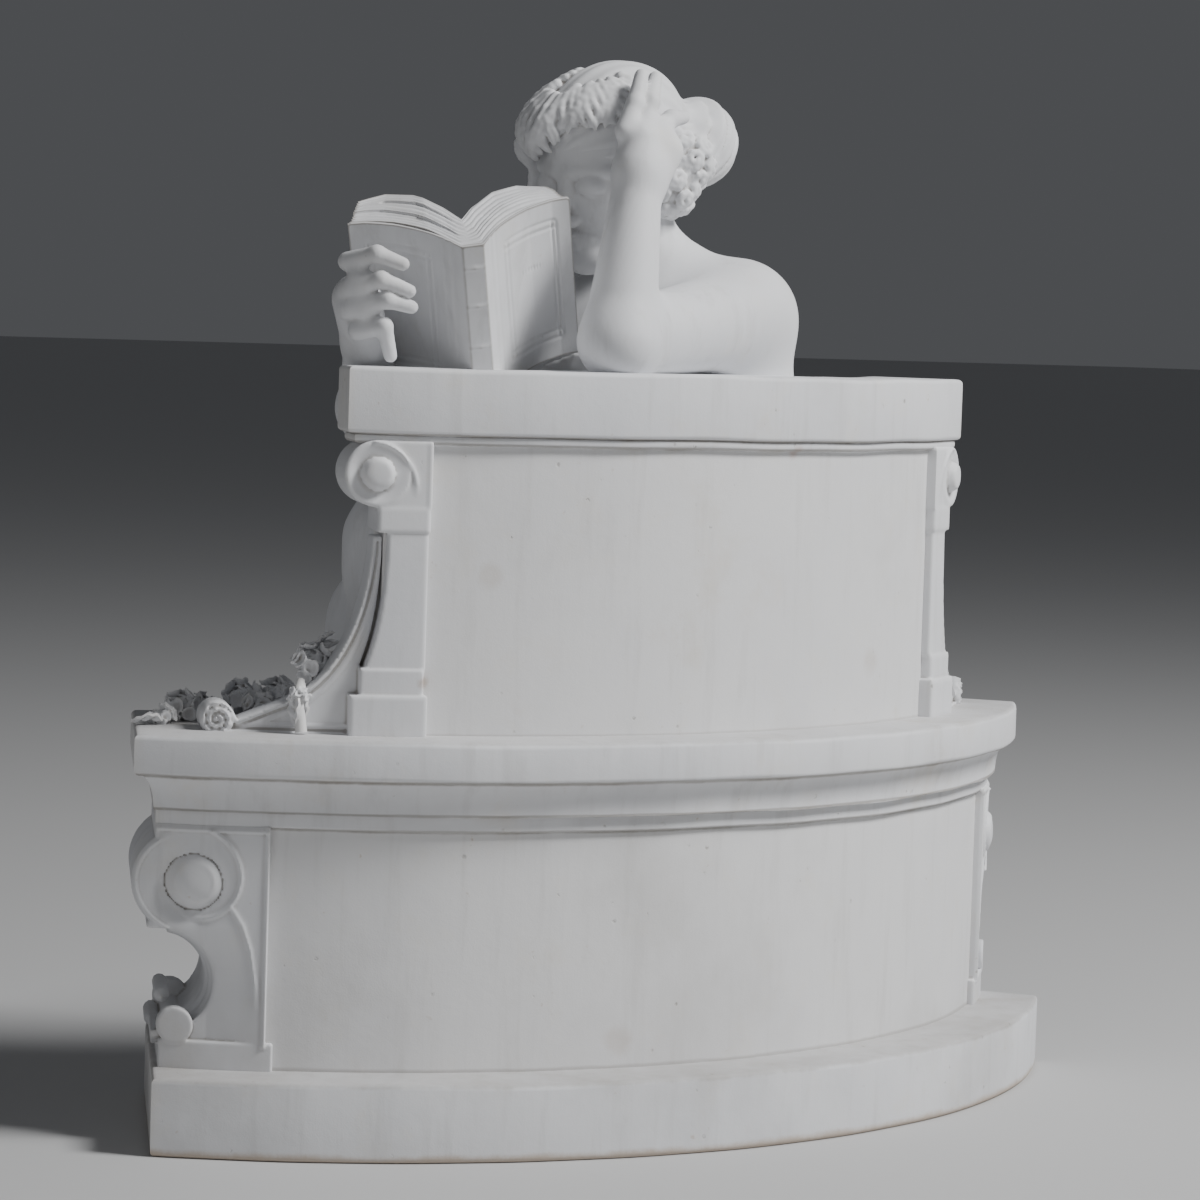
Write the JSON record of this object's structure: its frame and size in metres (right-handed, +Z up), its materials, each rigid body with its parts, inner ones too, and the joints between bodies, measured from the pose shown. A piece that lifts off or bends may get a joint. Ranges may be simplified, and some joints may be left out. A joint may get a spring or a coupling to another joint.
{
  "type": "porcelain figure group",
  "caption": "Unglazed white porcelain group: a young woman sits on a curved stone bench, leans on its back and reads an open book, with roses strewn beside her.",
  "frame": {"origin": "centre of the base's outline, on its underside", "axes": "+Z up, +Y towards the bench's convex back, +X along the bench towards the end with the roses, which is on the figure's left as she faces it"},
  "size_m": [0.493, 0.2302, 0.4558],
  "materials": {
    "bisque": "unglazed fired porcelain, matte, with faint stains in its hollows"
  },
  "bodies": {
    "root": {"statue": "bisque"}
  },
  "joints": []
}
